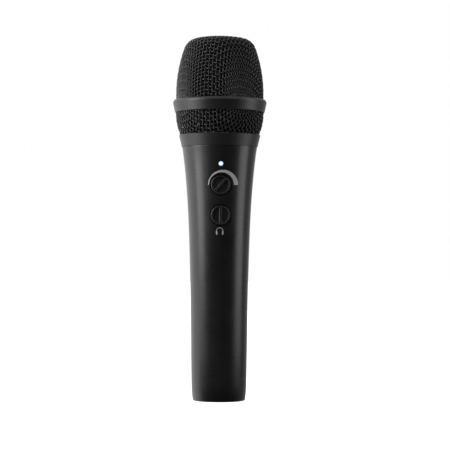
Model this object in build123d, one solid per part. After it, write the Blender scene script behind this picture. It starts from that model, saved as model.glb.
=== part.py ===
from build123d import *
import math
import os

# A hand-held karaoke microphone with its own sound card: a tapered metal handle with two rotary level
# knobs, and a screw-on grille head over a small capsule. Millimetres, +Z up through the grille. The origin
# is the centre of the foot and the knobs face -Y. "Front" below means -Y.

# ---------------------------------------------------------------- driving dimensions
# Heights along the microphone's axis.
FOOT_Z = 0.0
SHOULDER_Z = 135.6
NECK_TOP_Z = 144.0
COLLAR_BOTTOM_Z = 135.7
COLLAR_TOP_Z = 142.0
BAND_BOTTOM_Z = 154.2
BAND_TOP_Z = 161.1
HEAD_TOP_Z = 195.0

# Handle outline, outside radius and height, from just above the rounded foot to just under the shoulder.
HANDLE_OUTLINE = [
    (14.72, 8.0),
    (14.97, 25.0),
    (15.28, 51.0),
    (15.90, 76.8),
    (16.60, 96.2),
    (17.34, 109.0),
    (18.42, 121.9),
    (20.06, 135.2),
]
HANDLE_START_SLOPE = 0.025
HANDLE_END_SLOPE = 0.17
FOOT_FLAT_R = 13.3
FOOT_CORNER = (14.13, 0.72)
SHOULDER_CHAMFER = 0.06
NECK_R = 17.6
NECK_BORE_R = 15.8
# Bore of the handle, radius and height, from the end plate's seat up to the chassis ledge.
HANDLE_BORE = [(11.7, 3.05), (12.2, 60.0), (14.2, 100.0), (15.0, 118.0), (14.4, 122.5)]
LEDGE_R, LEDGE_TOP_Z = 14.4, 129.0

# Dome of the upper grille: three tangent arcs, each with a radius and the normal's tilt where it ends.
DOME_ARCS = [(79.4, 9.4), (8.05, 70.4), (74.0, 91.9)]
GRILLE_WALL = 1.3
# Bowl of the lower grille: one arc below a short upright rim.
BOWL_ARC_R, BOWL_RIM_R, BOWL_RIM_Z = 28.0, 23.62, 153.5
BOWL_BOTTOM_Z = 141.0
DOME_RIM_Z, BOWL_TOP_Z = 158.95, 156.5
# Grooves of the band that the two rims sit in: each one's two radii and the height of its end.
UPPER_GROOVE, LOWER_GROOVE = (21.95, 23.6, 158.9), (22.25, 23.7, 156.6)
BAND_BORE_R, BAND_WIDEST_R, BAND_WIDEST_Z = 21.5, 25.12, 159.2
FOAM_GAP, FOAM_WALL, FOAM_BOTTOM_Z = 1.5, 3.5, 161.2
LOWER_FOAM_WALL, LOWER_FOAM_Z, LOWER_FOAM_TOP_Z = 3.0, 146.5, 154.1

# Knobs: the height of each axis, how far out its face stands, and the marker rib's turn from upright.
GAIN_Z, GAIN_FACE, GAIN_TURN = 114.7, 17.6, 42.6
PHONES_Z, PHONES_FACE, PHONES_TURN = 98.75, 16.7, 0.0
KNOB_R, KNOB_HOLE_R = 5.2, 5.8
KNOB_DISH_R, KNOB_DISH_DEPTH, KNOB_DISC = 4.15, 0.9, 2.2
KNOB_RIB_WIDTH, KNOB_RIB_CHAMFER = 1.5, 0.3
KNOB_HUB_R, KNOB_HUB_BACK = 4.2, 10.9
SHAFT_R, SHAFT_END, SHAFT_FLAT = 3.0, 14.0, 2.2
PRESS_GAP = 0.02
RUNNING_GAP = 0.05

# Status light.
LED_Z, LIGHT_PIPE_R, LIGHT_PIPE_FACE = 125.85, 1.2, 18.95

# Main board, upright behind the knobs, and the parts on its front face.
BOARD_FRONT, BOARD_BACK = -2.0, -0.4
BOARD_HALF_WIDTH, BOARD_BOTTOM_Z, BOARD_TOP_Z = 10.5, 4.6, 127.6
BOARD_SCREWS = [(-8.2, 20.0), (8.2, 20.0), (-8.2, 88.0), (8.2, 88.0)]
BOARD_SCREW_R, BOARD_HEAD_R, BOARD_HEAD = 1.0, 1.8, 1.2
CONNECTOR_X, CONNECTOR_Z, CONNECTOR_HEIGHT = -7.5, 120.0, 4.0
POT_HALF_WIDTH, POT_HALF_HEIGHT, POT_CASE_FRONT, POT_PLATE_FRONT = 4.9, 5.2, -6.5, -7.2
POT_CAVITY_R, POT_FLOOR, BUSH_R, BUSH_FRONT = 4.2, -2.6, 3.9, -10.3
ROTOR_R, ROTOR_BACK, ROTOR_FRONT = 3.9, -3.2, -4.4

# Sockets in the foot. The board's front face carries both.
END_PLATE_R, END_PLATE_Z, END_PLATE_TOP_Z, END_SEAT_R = 12.3, 0.3, 3.0, 12.4
JACK_X, JACK_Y, JACK_BORE_R, JACK_NOZZLE_R = 5.2, -5.0, 1.85, 2.9
JACK_MOUTH_Z, JACK_BORE_TOP_Z, JACK_BODY_Z, JACK_TOP_Z = 0.5, 14.7, 3.4, 16.4
JACK_HALF = 3.0
USB_X, USB_WIDTH, USB_HEIGHT, USB_SHEET = -5.0, 8.94, 3.26, 0.3
USB_MOUTH_Z, USB_TOP_Z = 0.5, 8.6
USB_Y = BOARD_FRONT - USB_HEIGHT / 2
END_SCREW_X, END_SCREW_Y, END_SCREW_R, END_HEAD_R = 4.5, 6.6, 1.0, 2.0

# Chassis behind the board.
TRAY_FRONT, TRAY_BACK, TRAY_HALF_WIDTH, TRAY_BOTTOM_Z = 2.0, 3.4, 9.3, 5.0
RAIL_BACK, RAIL_WALL = 6.0, 1.2
FLANGE_R, FLANGE_TOP_Z = 15.6, 131.0
POST_CIRCLE_R, POST_R = 12.9, 2.2
LEAD_HOLE_X, LEAD_HOLE_R = -7.5, 2.2

# Capsule and its seat on top of the neck.
SEAT_R, SEAT_TOP_Z, PAD_TOP_Z = 17.2, 146.0, 148.0
TOWER_R, TOWER_BORE_R, TOWER_TOP_Z = 10.6, 9.5, 156.0
MOUNT_R, MOUNT_BORE_R, MOUNT_TOP_Z, LIP_R, LIP_Z = 9.4, 8.05, 158.0, 10.6, 156.05
WIRE_HOLE_R = 3.5
CAPSULE_R, CAPSULE_WALL, CAPSULE_Z, CAPSULE_TOP_Z = 8.0, 0.5, 150.1, 159.1
# The layers inside the capsule's can, from its face down: underside and top of each.
FELT_Z = (158.1, CAPSULE_TOP_Z - CAPSULE_WALL)
DIAPHRAGM_RING_Z = (157.2, FELT_Z[0])
DIAPHRAGM_Z = (157.1, DIAPHRAGM_RING_Z[0])
SPACER_Z = (156.95, DIAPHRAGM_Z[0])
BACKPLATE_Z = (155.75, SPACER_Z[0])
CAPSULE_BOARD_Z = (150.3, 151.3)
INSULATOR_Z = (CAPSULE_BOARD_Z[1], BACKPLATE_Z[0])
LAYER_R, RING_BORE_R, SPACER_BORE_R, BACKPLATE_R, INSULATOR_BORE_R = 7.4, 5.8, 6.2, 6.9, 6.5
SOUND_HOLE_R, SOUND_HOLE_CIRCLES = 0.55, [(6, 2.4), (12, 4.8)]
LEAD_R, LEAD_BEND_R, LEAD_START_Y, LEAD_END_Y = 0.5, 8.0, -3.5, 0.4
SEAT_SCREW_R, SEAT_HEAD_R, SEAT_HEAD = 1.0, 1.8, 1.3

# Collar under the lower grille.
COLLAR_BORE_R, COLLAR_SLEEVE_R, COLLAR_SLEEVE_TOP_Z = 18.2, 19.1, 146.4
COLLAR_BOTTOM_R, COLLAR_TOP_R, COLLAR_BREAK = 20.36, 21.78, 0.06
GASKET_SEAT_R, GASKET_SEAT_Z = 19.6, 136.8

UP = (Align.CENTER, Align.CENTER, Align.MIN)


# ---------------------------------------------------------------- helpers
def block(x0, x1, y0, y1, z0, z1):
    """A box between two corners."""
    return Pos((x0 + x1) / 2, (y0 + y1) / 2, (z0 + z1) / 2) * Box(x1 - x0, y1 - y0, z1 - z0)


def rod(radius, z0, z1, x=0.0, y=0.0):
    """An upright cylinder."""
    return Pos(x, y, z0) * Cylinder(radius, z1 - z0, align=UP)


def ring(inner_r, outer_r, z0, z1, x=0.0, y=0.0):
    """An upright tube."""
    return rod(outer_r, z0, z1, x, y) - rod(inner_r, z0 - 1, z1 + 1, x, y)


def bar(radius, y0, y1, x, z):
    """A cylinder along Y, from y0 back to y1."""
    return Pos(x, y0, z) * Rot(-90, 0, 0) * Cylinder(radius, y1 - y0, align=UP)


def turned(*edges):
    """The solid that a closed outline of (radius, height) edges makes round the axis."""
    outline = edges[0]
    for edge in edges[1:]:
        outline += edge
    return revolve(make_face(Plane.XZ * outline), Axis.Z)


def turned_polygon(*points):
    """The same for an outline of straight edges."""
    return turned(Polyline(*points, close=True))


def spread(count, radius, start=90.0):
    """Points evenly round a circle, as (x, y)."""
    step = 360.0 / count
    angles = [math.radians(start + step * k) for k in range(count)]
    return [(radius * math.cos(a), radius * math.sin(a)) for a in angles]


def joined(solids):
    """Several separate solids as one node."""
    return Compound(children=[s for shape in solids for s in shape.solids()])


# ---------------------------------------------------------------- grille head
def dome_edges(inset):
    """Edges of the dome's outline, crown to rim, moved inwards by inset."""
    edges = []
    centre = (0.0, HEAD_TOP_Z - DOME_ARCS[0][0])
    start = 0.0
    for index, (radius, end) in enumerate(DOME_ARCS):
        at = [
            (centre[0] + (radius - inset) * math.sin(math.radians(a)),
             centre[1] + (radius - inset) * math.cos(math.radians(a)))
            for a in (start, (start + end) / 2, end)
        ]
        edges.append(ThreePointArc(*at))
        if index + 1 < len(DOME_ARCS):
            change = radius - DOME_ARCS[index + 1][0]
            tilt = math.radians(end)
            centre = (centre[0] + change * math.sin(tilt), centre[1] + change * math.cos(tilt))
        start = end
    return edges


def dome(inset, bottom_z):
    """Everything under the dome's skin at this inset, down to bottom_z."""
    edges = dome_edges(inset)
    rim = edges[-1] @ 1
    axis_foot = (0.0, bottom_z)
    sides = Polyline((rim.X, rim.Y), (rim.X, bottom_z), axis_foot, (0.0, HEAD_TOP_Z - inset))
    return turned(*edges, sides)


def upper_grille():
    return dome(0, DOME_RIM_Z) - dome(GRILLE_WALL, DOME_RIM_Z - 1)


def upper_foam_liner():
    return dome(FOAM_GAP, FOAM_BOTTOM_Z) - dome(FOAM_GAP + FOAM_WALL, FOAM_BOTTOM_Z - 1)


def bowl_radius(z, inset):
    """Radius of the lower grille's bowl at a height, moved inwards by inset."""
    drop = BOWL_RIM_Z - z
    return BOWL_RIM_R - BOWL_ARC_R + math.sqrt((BOWL_ARC_R - inset) ** 2 - drop**2)


def bowl_wall(inset, wall, bottom_z, top_z):
    """A band of the bowl's wall."""
    inner = inset + wall
    middle_z = (bottom_z + BOWL_RIM_Z) / 2

    def arc(depth):
        heights = (bottom_z, middle_z, BOWL_RIM_Z)
        return ThreePointArc(*[(bowl_radius(z, depth), z) for z in heights])

    over_the_top = Polyline(
        (BOWL_RIM_R - inset, BOWL_RIM_Z),
        (BOWL_RIM_R - inset, top_z),
        (BOWL_RIM_R - inner, top_z),
        (BOWL_RIM_R - inner, BOWL_RIM_Z),
    )
    foot = Line((bowl_radius(bottom_z, inner), bottom_z), (bowl_radius(bottom_z, inset), bottom_z))
    return turned(arc(inset), over_the_top, arc(inner), foot)


def lower_grille():
    return bowl_wall(0, GRILLE_WALL, BOWL_BOTTOM_Z, BOWL_TOP_Z)


def lower_foam_liner():
    return bowl_wall(FOAM_GAP, LOWER_FOAM_WALL, LOWER_FOAM_Z, LOWER_FOAM_TOP_Z)


def grille_band():
    """The ring that joins the two halves of the grille and grips their rims in two grooves."""
    upper_in, upper_out, upper_end_z = UPPER_GROOVE
    lower_in, lower_out, lower_end_z = LOWER_GROOVE
    crown = (upper_out, BAND_TOP_Z)
    widest = (BAND_WIDEST_R, BAND_WIDEST_Z)
    shoulder = ThreePointArc(crown, (BAND_WIDEST_R - 0.37, BAND_TOP_Z - 0.75), widest)
    rest = Polyline(
        widest,
        (lower_out + 0.42, BAND_BOTTOM_Z + 0.25),
        (lower_out + 0.25, BAND_BOTTOM_Z),
        (lower_out, BAND_BOTTOM_Z),
        (lower_out, lower_end_z),
        (lower_in, lower_end_z),
        (lower_in, BAND_BOTTOM_Z),
        (BAND_BORE_R, BAND_BOTTOM_Z),
        (BAND_BORE_R, BAND_TOP_Z),
        (upper_in, BAND_TOP_Z),
        (upper_in, upper_end_z),
        (upper_out, upper_end_z),
        crown,
    )
    return turned(shoulder, rest)


def grille_collar():
    """The threaded foot of the head. Its bore is plain: the thread on the neck stands clear of it."""
    groove_z = BOWL_BOTTOM_Z - 0.05
    gap = 0.06
    return turned_polygon(
        (COLLAR_BOTTOM_R - COLLAR_BREAK, COLLAR_BOTTOM_Z),
        (COLLAR_BOTTOM_R, COLLAR_BOTTOM_Z + COLLAR_BREAK),
        (COLLAR_TOP_R, COLLAR_TOP_Z - 0.2),
        (COLLAR_TOP_R - 0.15, COLLAR_TOP_Z),
        (bowl_radius(COLLAR_TOP_Z, 0) + gap, COLLAR_TOP_Z),
        (bowl_radius(BOWL_BOTTOM_Z, 0) + gap, groove_z),
        (COLLAR_SLEEVE_R, groove_z),
        (COLLAR_SLEEVE_R, COLLAR_SLEEVE_TOP_Z),
        (COLLAR_BORE_R, COLLAR_SLEEVE_TOP_Z),
        (COLLAR_BORE_R, GASKET_SEAT_Z),
        (GASKET_SEAT_R, GASKET_SEAT_Z),
        (GASKET_SEAT_R, COLLAR_BOTTOM_Z),
    )


def collar_gasket():
    gap = 0.05
    return ring(COLLAR_BORE_R + gap, GASKET_SEAT_R - gap, SHOULDER_Z + gap, GASKET_SEAT_Z - gap)


# ---------------------------------------------------------------- handle
def handle_shell():
    foot_corner = TangentArc((FOOT_FLAT_R, FOOT_Z), FOOT_CORNER, tangent=(1, 0))
    foot_swell = TangentArc(FOOT_CORNER, HANDLE_OUTLINE[0], tangent=foot_corner % 1)
    side = Spline(*HANDLE_OUTLINE, tangents=[(HANDLE_START_SLOPE, 1), (HANDLE_END_SLOPE, 1)])
    rest = Polyline(
        HANDLE_OUTLINE[-1],
        (HANDLE_OUTLINE[-1][0], SHOULDER_Z - SHOULDER_CHAMFER),
        (HANDLE_OUTLINE[-1][0] - SHOULDER_CHAMFER, SHOULDER_Z),
        (NECK_R, SHOULDER_Z),
        (NECK_R, NECK_TOP_Z),
        (NECK_BORE_R, NECK_TOP_Z),
        (NECK_BORE_R, LEDGE_TOP_Z),
        (LEDGE_R, LEDGE_TOP_Z),
        *reversed(HANDLE_BORE),
        (END_SEAT_R, HANDLE_BORE[0][1]),
        (END_SEAT_R, FOOT_Z),
        (FOOT_FLAT_R, FOOT_Z),
    )
    shell = turned(foot_corner, foot_swell, side, rest)
    for z in (GAIN_Z, PHONES_Z):
        shell -= bar(KNOB_HOLE_R, -25, -10, 0, z)
    return shell - bar(LIGHT_PIPE_R + RUNNING_GAP, -25, -10, 0, LED_Z)


def inner_chassis():
    """The plastic tray that carries the board. Its flange hangs on the ledge in the neck."""
    tray = block(-TRAY_HALF_WIDTH, TRAY_HALF_WIDTH, TRAY_FRONT, TRAY_BACK, TRAY_BOTTOM_Z, LEDGE_TOP_Z)
    for side in (-1, 1):
        edge = side * (TRAY_HALF_WIDTH - RAIL_WALL / 2)
        x0, x1 = edge - RAIL_WALL / 2, edge + RAIL_WALL / 2
        tray += block(x0, x1, TRAY_BACK, RAIL_BACK, TRAY_BOTTOM_Z, LEDGE_TOP_Z)
    for x, z in BOARD_SCREWS:
        tray += bar(2.0, BOARD_BACK, TRAY_FRONT, x, z)
    tray += rod(FLANGE_R, LEDGE_TOP_Z, FLANGE_TOP_Z)
    for x, y in spread(3, POST_CIRCLE_R):
        tray += rod(POST_R, FLANGE_TOP_Z, NECK_TOP_Z, x, y)
    tray += block(-6.4, 6.4, TRAY_BACK, 8.8, END_PLATE_TOP_Z + 0.05, 12.0)
    for x, z in BOARD_SCREWS:
        tray -= bar(BOARD_SCREW_R + PRESS_GAP, BOARD_BACK - 1, 5.0, x, z)
    for x, y in spread(3, POST_CIRCLE_R):
        tray -= rod(SEAT_SCREW_R + PRESS_GAP, NECK_TOP_Z - 8.5, NECK_TOP_Z + 1, x, y)
    for x in (-END_SCREW_X, END_SCREW_X):
        tray -= rod(END_SCREW_R + PRESS_GAP, 0, 10.5, x, END_SCREW_Y)
    return tray - rod(LEAD_HOLE_R, LEDGE_TOP_Z - 1, FLANGE_TOP_Z + 1, LEAD_HOLE_X, LEAD_START_Y)


# ---------------------------------------------------------------- foot and sockets
def usb_slot(width, height, z0, z1):
    """An upright prism with the rounded-slot section of the socket."""
    section = SlotOverall(width, height)
    return Pos(USB_X, USB_Y, z0) * extrude(section, z1 - z0)


def end_plate():
    gap = 0.15
    plate = turned_polygon(
        (0, END_PLATE_Z),
        (END_PLATE_R - 0.3, END_PLATE_Z),
        (END_PLATE_R, END_PLATE_Z + 0.3),
        (END_PLATE_R, END_PLATE_TOP_Z),
        (0, END_PLATE_TOP_Z),
    )
    plate -= usb_slot(USB_WIDTH + 2 * gap, USB_HEIGHT + 2 * gap, -1, END_PLATE_TOP_Z + 1)
    plate -= rod(JACK_NOZZLE_R + gap, -1, END_PLATE_TOP_Z + 1, JACK_X, JACK_Y)
    for x in (-END_SCREW_X, END_SCREW_X):
        plate -= rod(END_SCREW_R + 0.1, -1, END_PLATE_TOP_Z + 1, x, END_SCREW_Y)
        plate -= Pos(x, END_SCREW_Y, END_PLATE_Z) * Cone(END_HEAD_R + 0.1, END_SCREW_R + 0.1, 1.0, align=UP)
    return plate


def cross_slots(radius, depth, z, x, y):
    """The two crossed slots of a screw's drive, cut up into a head whose face is at z."""
    slots = block(-radius, radius, -0.25, 0.25, z - 0.1, z + depth)
    slots += block(-0.25, 0.25, -radius, radius, z - 0.1, z + depth)
    return Pos(x, y, 0) * slots


def end_plate_screws():
    screws = []
    for x in (-END_SCREW_X, END_SCREW_X):
        head = Pos(x, END_SCREW_Y, END_PLATE_Z + 0.1) * Cone(END_HEAD_R, END_SCREW_R, 0.95, align=UP)
        screw = head + rod(END_SCREW_R, END_PLATE_Z + 1.0, 9.5, x, END_SCREW_Y)
        screws.append(screw - cross_slots(1.1, 0.6, END_PLATE_Z + 0.1, x, END_SCREW_Y))
    return joined(screws)


def usb_socket_shell():
    inner_width, inner_height = USB_WIDTH - 2 * USB_SHEET, USB_HEIGHT - 2 * USB_SHEET
    tube = usb_slot(USB_WIDTH, USB_HEIGHT, USB_MOUTH_Z, USB_TOP_Z)
    return tube - usb_slot(inner_width, inner_height, USB_MOUTH_Z - 1, USB_TOP_Z - USB_SHEET)


def usb_socket_tongue():
    back_z = USB_TOP_Z - USB_SHEET
    width, height = USB_WIDTH - 2 * USB_SHEET - 0.1, USB_HEIGHT - 2 * USB_SHEET - 0.1
    tongue = block(USB_X - 3.3, USB_X + 3.3, USB_Y - 0.35, USB_Y + 0.35, 1.3, back_z - 0.02)
    return tongue + usb_slot(width, height, back_z - 2.0, back_z - 0.02)


def headphone_jack():
    body = block(
        JACK_X - JACK_HALF, JACK_X + JACK_HALF, JACK_Y - JACK_HALF, BOARD_FRONT, JACK_BODY_Z, JACK_TOP_Z
    )
    body += rod(JACK_NOZZLE_R, JACK_MOUTH_Z, JACK_BODY_Z, JACK_X, JACK_Y)
    return body - rod(JACK_BORE_R, JACK_MOUTH_Z - 1, JACK_BORE_TOP_Z, JACK_X, JACK_Y)


def jack_contacts():
    """The spring contacts' outer legs, on the jack's front face."""
    front = JACK_Y - JACK_HALF
    legs = [block(JACK_X - 2.0, JACK_X + 2.0, front - 0.25, front, z, z + 1.4) for z in (5.2, 8.8, 12.4)]
    return joined(legs)


# ---------------------------------------------------------------- main board
def main_board():
    board = block(
        -BOARD_HALF_WIDTH, BOARD_HALF_WIDTH, BOARD_FRONT, BOARD_BACK, BOARD_BOTTOM_Z, BOARD_TOP_Z
    )
    board = fillet(board.edges().filter_by(Axis.Y), 1.5)
    for x, z in BOARD_SCREWS:
        board -= bar(BOARD_SCREW_R + 0.15, BOARD_FRONT - 1, BOARD_BACK + 1, x, z)
    return board


def board_screws():
    screws = []
    for x, z in BOARD_SCREWS:
        head = bar(BOARD_HEAD_R, BOARD_FRONT - BOARD_HEAD, BOARD_FRONT, x, z)
        slot = block(x - 1.2, x + 1.2, BOARD_FRONT - 2, BOARD_FRONT - BOARD_HEAD + 0.5, z - 0.25, z + 0.25)
        screws.append(head + bar(BOARD_SCREW_R, BOARD_FRONT, 4.5, x, z) - slot)
    return joined(screws)


def on_board(x, z, width, height, thickness):
    """A flat component on the board's front face, centred at x, z."""
    back = BOARD_FRONT
    return block(x - width / 2, x + width / 2, back - thickness, back, z - height / 2, z + height / 2)


def board_capacitors():
    cans = [bar(2.4, BOARD_FRONT - 5.2, BOARD_FRONT, x, 42.0) for x in (-5.0, 5.0)]
    chips = [on_board(x, z, 1.2, 2.0, 0.9) for z in (29.0, 52.0, 60.5) for x in (-8.0, -5.4, 5.4, 8.0)]
    return joined(cans + chips)


# ---------------------------------------------------------------- level controls
def shaft_section(radius, flat):
    """A round shaft's section with one flat, on the side that faces down."""
    return Circle(radius) - Pos(0, -flat - radius) * Rectangle(2 * radius, 2 * radius)


def shaft_end(z, gap, y0, y1, turn):
    """The flatted end of a shaft, or the bore for it with a gap all round, turned about its axis."""
    section = shaft_section(SHAFT_R + gap, SHAFT_FLAT + gap)
    return Pos(0, y1, z) * Rot(0, turn, 0) * Rot(90, 0, 0) * extrude(section, y1 - y0)


def knob(z, face, turn):
    """A dished disc with a marker rib, on a hub that fits the shaft."""
    disc_back = -(face - KNOB_DISC)
    disc = bar(KNOB_R, -face, disc_back, 0, 0)
    disc = fillet(disc.edges().group_by(Axis.Y)[0], 0.5)
    dish = bar(KNOB_DISH_R, -face - 1, -face + KNOB_DISH_DEPTH, 0, 0)
    disc -= dish
    disc = fillet(disc.edges().filter_by(GeomType.CIRCLE).filter_by(
        lambda e: abs(e.radius - KNOB_DISH_R) < 0.01).group_by(Axis.Y)[0], 0.25)
    half = KNOB_RIB_WIDTH / 2
    length = KNOB_R - 0.75
    rib = block(-half, half, -face + 0.08, -face + KNOB_DISH_DEPTH + 0.3, -length, length)
    rib = chamfer(rib.edges().group_by(Axis.Y)[0].filter_by(Axis.Z), KNOB_RIB_CHAMFER)
    disc += rib
    disc += bar(KNOB_HUB_R, disc_back - 0.1, -KNOB_HUB_BACK, 0, 0)
    return Pos(0, 0, z) * Rot(0, turn, 0) * disc - shaft_end(z, PRESS_GAP, -SHAFT_END - 0.1, -5, turn)


def pot_case(z):
    case = block(
        -POT_HALF_WIDTH, POT_HALF_WIDTH, POT_CASE_FRONT, BOARD_FRONT, z - POT_HALF_HEIGHT, z + POT_HALF_HEIGHT
    )
    return case - bar(POT_CAVITY_R, POT_CASE_FRONT - 1, POT_FLOOR, 0, z)


def pot_bushing(z):
    """The metal front plate with the bush that the shaft turns in."""
    plate = block(
        -POT_HALF_WIDTH,
        POT_HALF_WIDTH,
        POT_PLATE_FRONT,
        POT_CASE_FRONT,
        z - POT_HALF_HEIGHT,
        z + POT_HALF_HEIGHT,
    )
    plate += bar(BUSH_R, BUSH_FRONT, POT_PLATE_FRONT, 0, z)
    return plate - bar(SHAFT_R + RUNNING_GAP, BUSH_FRONT - 1, POT_CASE_FRONT + 1, 0, z)


def pot_track(z):
    track = bar(3.8, POT_FLOOR - 0.1, POT_FLOOR, 0, z) - bar(2.4, POT_FLOOR - 1, POT_FLOOR + 1, 0, z)
    return track - block(-0.8, 0.8, POT_FLOOR - 1, POT_FLOOR + 1, z - 5, z)


def pot_shaft(z, turn):
    shaft = bar(ROTOR_R, ROTOR_FRONT, ROTOR_BACK, 0, z) + bar(SHAFT_R, -KNOB_HUB_BACK, ROTOR_FRONT, 0, z)
    return shaft + shaft_end(z, 0, -SHAFT_END, -KNOB_HUB_BACK, turn)


def pot_wiper(z, turn):
    """The contact that rides on the rotor, short of the track by a hair."""
    arm = block(-0.7, 0.7, ROTOR_BACK, ROTOR_BACK + 0.35, 1.2, 3.6)
    arm += bar(1.6, ROTOR_BACK, ROTOR_BACK + 0.2, 0, 0)
    return Pos(0, 0, z) * Rot(0, turn, 0) * arm


# ---------------------------------------------------------------- status light
def status_light_pipe():
    """A clear rod from the light on the board to the handle's skin, with a slightly domed face."""
    face = bar(LIGHT_PIPE_R, -LIGHT_PIPE_FACE, -13.8, 0, LED_Z)
    face = fillet(face.edges().group_by(Axis.Y)[0], 0.3)
    return face + bar(1.9, -13.9, -12.9, 0, LED_Z) + bar(LIGHT_PIPE_R, -12.95, -3.2, 0, LED_Z)


# ---------------------------------------------------------------- capsule
def capsule_carrier():
    """The seat on top of the neck, with a tower for the rubber mount."""
    seat = rod(SEAT_R, NECK_TOP_Z, SEAT_TOP_Z) + ring(15.2, 15.7, NECK_TOP_Z - 2, NECK_TOP_Z + 0.5)
    seat += rod(TOWER_R, SEAT_TOP_Z, PAD_TOP_Z) + ring(TOWER_BORE_R, TOWER_R, PAD_TOP_Z, TOWER_TOP_Z)
    seat -= rod(WIRE_HOLE_R, NECK_TOP_Z - 1, PAD_TOP_Z + 1)
    for x, y in spread(3, POST_CIRCLE_R):
        seat -= rod(SEAT_SCREW_R + 0.1, NECK_TOP_Z - 1, SEAT_TOP_Z + 1, x, y)
    return seat


def carrier_screws():
    screws = []
    for x, y in spread(3, POST_CIRCLE_R):
        screw = rod(SEAT_HEAD_R, SEAT_TOP_Z, SEAT_TOP_Z + SEAT_HEAD, x, y)
        screw += rod(SEAT_SCREW_R, NECK_TOP_Z - 7.5, SEAT_TOP_Z, x, y)
        screws.append(screw - cross_slots(1.0, 1.0, SEAT_TOP_Z + SEAT_HEAD - 0.6, x, y))
    return joined(screws)


def shock_mount():
    mount = ring(MOUNT_BORE_R, MOUNT_R, PAD_TOP_Z + 0.05, MOUNT_TOP_Z)
    mount += ring(WIRE_HOLE_R, MOUNT_R, PAD_TOP_Z + 0.05, CAPSULE_Z - 0.1)
    return mount + ring(MOUNT_BORE_R, LIP_R, LIP_Z, LIP_Z + 1.5)


def capsule_can():
    can = rod(CAPSULE_R, CAPSULE_Z, CAPSULE_TOP_Z)
    can -= rod(CAPSULE_R - CAPSULE_WALL, CAPSULE_Z - 1, CAPSULE_TOP_Z - CAPSULE_WALL)
    can = chamfer(can.edges().group_by(Axis.Z)[-1], 0.2)
    holes = [(0.0, 0.0)] + [hole for circle in SOUND_HOLE_CIRCLES for hole in spread(*circle)]
    for x, y in holes:
        can -= rod(SOUND_HOLE_R, CAPSULE_TOP_Z - 1, CAPSULE_TOP_Z + 1, x, y)
    return can


def capsule_backplate():
    plate = rod(BACKPLATE_R, *BACKPLATE_Z)
    for x, y in spread(6, BACKPLATE_R / 2):
        plate -= rod(SOUND_HOLE_R, BACKPLATE_Z[0] - 1, BACKPLATE_Z[1] + 1, x, y)
    return plate


def capsule_board():
    """A round board with the small transistor on it that the backplate feeds."""
    top_z = CAPSULE_BOARD_Z[1]
    return rod(LAYER_R, *CAPSULE_BOARD_Z) + block(-1.5, 1.5, -0.8, 0.8, top_z, top_z + 1.0)


def capsule_lead(x, start_x):
    """One insulated wire from the board's connector, up through the chassis and seat to the capsule."""
    connector_top_z = CONNECTOR_Z + CONNECTOR_HEIGHT / 2
    points = [
        (start_x, LEAD_START_Y, connector_top_z),
        (start_x, LEAD_START_Y, FLANGE_TOP_Z + 1.5),
        (x, LEAD_END_Y, SHOULDER_Z + 5.4),
        (x, LEAD_END_Y, CAPSULE_BOARD_Z[0]),
    ]
    path = FilletPolyline(*points, radius=[LEAD_BEND_R, LEAD_BEND_R])
    return sweep(Plane(origin=points[0], z_dir=(0, 0, 1)) * Circle(LEAD_R), path=path)


# ---------------------------------------------------------------- the assembly
NODES = {
    "upper_grille": upper_grille(),
    "grille_band": grille_band(),
    "lower_grille": lower_grille(),
    "grille_collar": grille_collar(),
    "upper_foam_liner": upper_foam_liner(),
    "lower_foam_liner": lower_foam_liner(),
    "collar_gasket": collar_gasket(),
    "handle_shell": handle_shell(),
    "inner_chassis": inner_chassis(),
    "end_plate": end_plate(),
    "end_plate_screws": end_plate_screws(),
    "usb_socket_shell": usb_socket_shell(),
    "usb_socket_tongue": usb_socket_tongue(),
    "headphone_jack": headphone_jack(),
    "jack_contacts": jack_contacts(),
    "main_board": main_board(),
    "board_screws": board_screws(),
    "board_capacitors": board_capacitors(),
    "audio_codec_chip": on_board(0, 72.0, 7.0, 7.0, 1.0),
    "headphone_amplifier_chip": on_board(0, 56.0, 4.4, 5.0, 1.1),
    "clock_crystal": on_board(-6.5, 68.0, 3.2, 5.0, 1.0),
    "lead_connector": on_board(CONNECTOR_X, CONNECTOR_Z, 4.4, CONNECTOR_HEIGHT, 3.0),
    "status_led": on_board(0, LED_Z, 2.0, 2.0, 0.9),
    "status_light_pipe": status_light_pipe(),
    "capsule_carrier": capsule_carrier(),
    "carrier_screws": carrier_screws(),
    "shock_mount": shock_mount(),
    "capsule_can": capsule_can(),
    "capsule_dust_felt": rod(LAYER_R, *FELT_Z),
    "capsule_diaphragm_ring": ring(RING_BORE_R, LAYER_R, *DIAPHRAGM_RING_Z),
    "capsule_diaphragm": rod(LAYER_R, *DIAPHRAGM_Z),
    "capsule_spacer": ring(SPACER_BORE_R, LAYER_R, *SPACER_Z),
    "capsule_backplate": capsule_backplate(),
    "capsule_insulator": ring(INSULATOR_BORE_R, LAYER_R, *INSULATOR_Z),
    "capsule_board": capsule_board(),
    "capsule_lead_red": capsule_lead(-2.0, CONNECTOR_X - 0.8),
    "capsule_lead_black": capsule_lead(-0.6, CONNECTOR_X + 0.8),
}
for name, z, face, turn in (
    ("gain", GAIN_Z, GAIN_FACE, GAIN_TURN),
    ("headphone", PHONES_Z, PHONES_FACE, PHONES_TURN),
):
    NODES[f"{name}_knob"] = knob(z, face, turn)
    NODES[f"{name}_pot_shaft"] = pot_shaft(z, turn)
    NODES[f"{name}_pot_wiper"] = pot_wiper(z, turn)
    NODES[f"{name}_pot_case"] = pot_case(z)
    NODES[f"{name}_pot_bushing"] = pot_bushing(z)
    NODES[f"{name}_pot_track"] = pot_track(z)

os.makedirs("parts", exist_ok=True)
for name, shape in NODES.items():
    export_step(shape, f"parts/{name}.step")
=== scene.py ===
import math

import bpy
import numpy as np
from mathutils import Matrix, Vector, noise
from mathutils.bvhtree import BVHTree

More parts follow.
